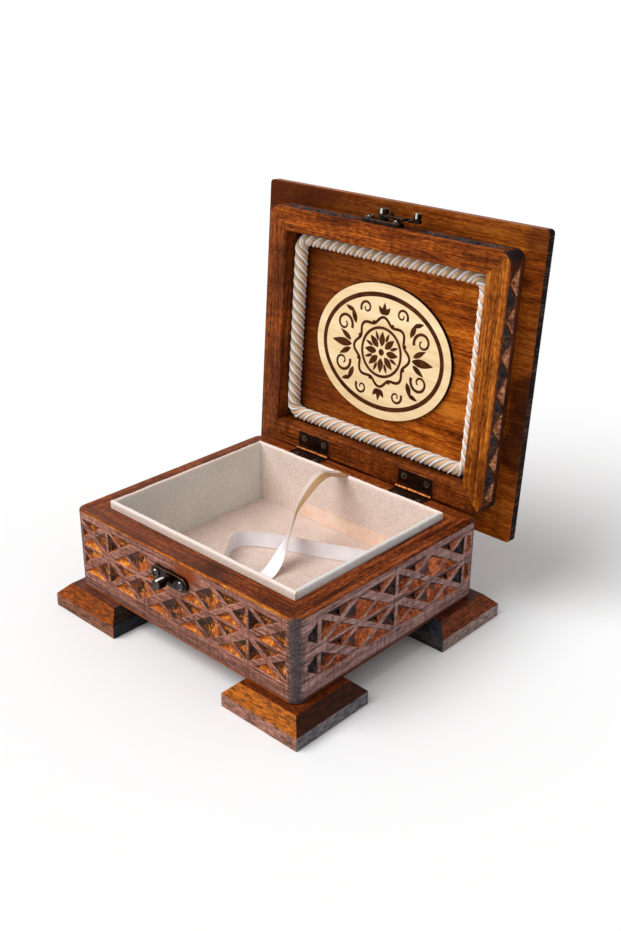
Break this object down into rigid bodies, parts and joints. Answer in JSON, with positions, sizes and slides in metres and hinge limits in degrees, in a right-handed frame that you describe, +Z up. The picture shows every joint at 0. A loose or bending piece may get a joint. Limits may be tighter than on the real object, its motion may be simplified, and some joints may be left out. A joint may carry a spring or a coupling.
{
  "type": "hinged book box",
  "caption": "Hinged wooden book box with chip-carved walls on bevelled feet, a velvet liner with a lifting ribbon, and an overhanging lid with rope trim, oval plaque and hook latch.",
  "frame": {"origin": "the point on the standing plane midway between the four feet, under the middle of the box", "axes": "+Z up, -Y out of the front where the catch is, +X to the right as seen from the front"},
  "size_m": [0.2535, 0.2426, 0.2827],
  "materials": {
    "wall_wood": "brown stain with a soft gloss",
    "foot_wood": "brown stain with a soft gloss",
    "lid_wood": "warm brown stain with a soft gloss",
    "plaque_wood": "pale veneer with a dark cut ornament",
    "velvet": "short beige pile",
    "ribbon": "off-white satin",
    "rope": "twisted cord of pale and beige strands",
    "hinge_metal": "dark bronze with bright worn edges",
    "latch_metal": "dark bronze with bright worn edges"
  },
  "bodies": {
    "box": {"front_wall": "wall_wood", "back_wall": "wall_wood", "left_wall": "wall_wood", "right_wall": "wall_wood", "bottom_panel": "wall_wood", "foot_front_left": "foot_wood", "foot_front_right": "foot_wood", "foot_back_left": "foot_wood", "foot_back_right": "foot_wood", "liner_front": "velvet", "liner_back": "velvet", "liner_left": "velvet", "liner_right": "velvet", "liner_floor": "velvet", "lifting_ribbon": "ribbon", "catch_plate": "latch_metal", "catch_stud": "latch_metal", "catch_screws": "latch_metal", "lower_leaf_left": "hinge_metal", "lower_leaf_right": "hinge_metal", "hinge_pin_left": "hinge_metal", "hinge_pin_right": "hinge_metal", "lower_leaf_screws": "hinge_metal"},
    "lid": {"lid_rail_front": "lid_wood", "lid_rail_back": "lid_wood", "lid_rail_left": "lid_wood", "lid_rail_right": "lid_wood", "lid_board": "lid_wood", "plaque": "plaque_wood", "rope_trim": "rope", "upper_leaf_left": "hinge_metal", "upper_leaf_right": "hinge_metal", "upper_leaf_screws": "hinge_metal", "latch_plate": "latch_metal", "latch_pivot": "latch_metal", "latch_screws": "latch_metal"},
    "latch": {"latch_hook": "latch_metal"}
  },
  "joints": [
    {"name": "lid_hinge", "type": "hinge", "parent": "box", "child": "lid", "pos_m": [0, 0.094, 0.0815], "axis": [1, 0, 0], "range_deg": [0, 94]},
    {"name": "latch_swing", "type": "hinge", "parent": "lid", "child": "latch", "pos_m": [-0.0045, 0.1151, 0.26848], "axis": [0, 0.0698, 0.9976], "range_deg": [-90, 0]}
  ]
}
